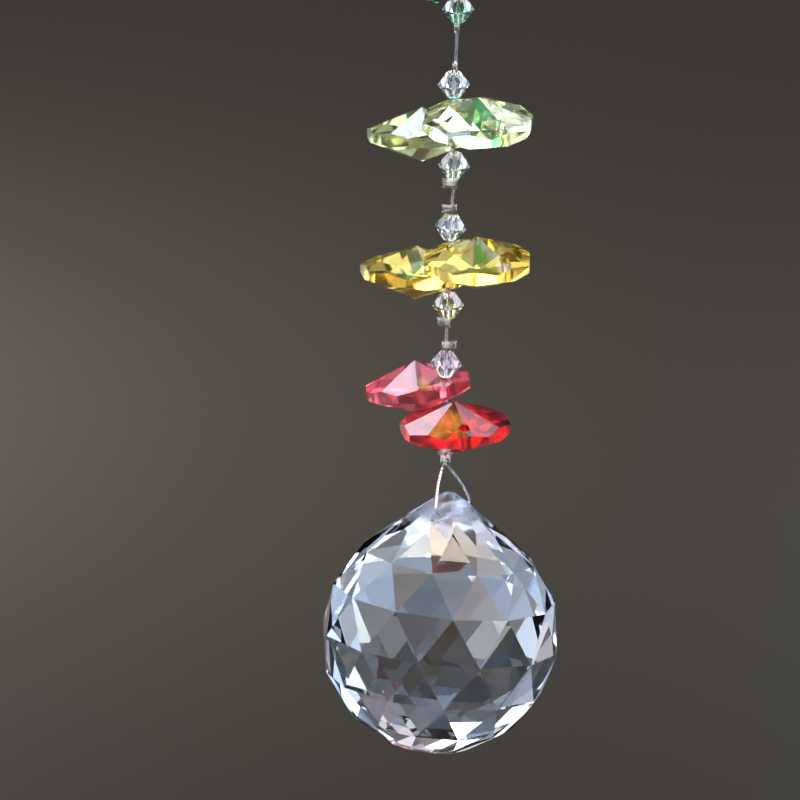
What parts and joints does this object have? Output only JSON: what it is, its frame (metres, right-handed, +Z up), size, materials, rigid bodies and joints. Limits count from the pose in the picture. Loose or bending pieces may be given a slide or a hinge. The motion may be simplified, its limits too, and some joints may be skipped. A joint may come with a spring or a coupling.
{
  "type": "hanging crystal suncatcher",
  "caption": "String of coloured octagon crystals over a clear faceted crystal ball, hung by a small ring in a window to scatter light.",
  "frame": {"origin": "inner top of the hanging ring, where a hook bears on it, so the string hangs down from it", "axes": "+Z up along the string, -Y the front that the picture shows, +X to the viewer's right"},
  "size_m": [0.0296, 0.0296, 0.1217],
  "materials": {
    "hanging_ring": "bright plated wire",
    "wire": "satin grey beading wire",
    "crimp_green_upper": "soft silver plate",
    "bicone_green_upper": "clear cut crystal",
    "octagon_green_upper": "clear coloured cut crystal",
    "crimp_green_lower": "soft silver plate",
    "bicone_green_lower": "clear cut crystal",
    "octagon_green_lower": "clear coloured cut crystal",
    "crimp_lemon_upper": "soft silver plate",
    "bicone_lemon_upper": "clear cut crystal",
    "octagon_lemon_upper": "clear coloured cut crystal",
    "crimp_lemon_lower": "soft silver plate",
    "bicone_lemon_lower": "clear cut crystal",
    "octagon_lemon_lower": "clear coloured cut crystal",
    "crimp_gold_upper": "soft silver plate",
    "bicone_gold_upper": "clear cut crystal",
    "octagon_gold_upper": "clear coloured cut crystal",
    "crimp_gold_lower": "soft silver plate",
    "bicone_gold_lower": "clear cut crystal",
    "octagon_gold_lower": "clear coloured cut crystal",
    "crimp_red_upper": "soft silver plate",
    "bicone_red_upper": "clear cut crystal",
    "octagon_red_upper": "clear coloured cut crystal",
    "crimp_red_lower": "soft silver plate",
    "bicone_red_lower": "clear cut crystal",
    "octagon_red_lower": "clear coloured cut crystal",
    "crystal_ball": "clear cut crystal"
  },
  "bodies": {
    "root": {"hanging_ring": "hanging_ring", "wire": "wire", "crimp_green_upper": "crimp_green_upper", "bicone_green_upper": "bicone_green_upper", "octagon_green_upper": "octagon_green_upper", "crimp_green_lower": "crimp_green_lower", "bicone_green_lower": "bicone_green_lower", "octagon_green_lower": "octagon_green_lower", "crimp_lemon_upper": "crimp_lemon_upper", "bicone_lemon_upper": "bicone_lemon_upper", "octagon_lemon_upper": "octagon_lemon_upper", "crimp_lemon_lower": "crimp_lemon_lower", "bicone_lemon_lower": "bicone_lemon_lower", "octagon_lemon_lower": "octagon_lemon_lower", "crimp_gold_upper": "crimp_gold_upper", "bicone_gold_upper": "bicone_gold_upper", "octagon_gold_upper": "octagon_gold_upper", "crimp_gold_lower": "crimp_gold_lower", "bicone_gold_lower": "bicone_gold_lower", "octagon_gold_lower": "octagon_gold_lower", "crimp_red_upper": "crimp_red_upper", "bicone_red_upper": "bicone_red_upper", "octagon_red_upper": "octagon_red_upper", "crimp_red_lower": "crimp_red_lower", "bicone_red_lower": "bicone_red_lower", "octagon_red_lower": "octagon_red_lower", "crystal_ball": "crystal_ball"}
  },
  "joints": []
}
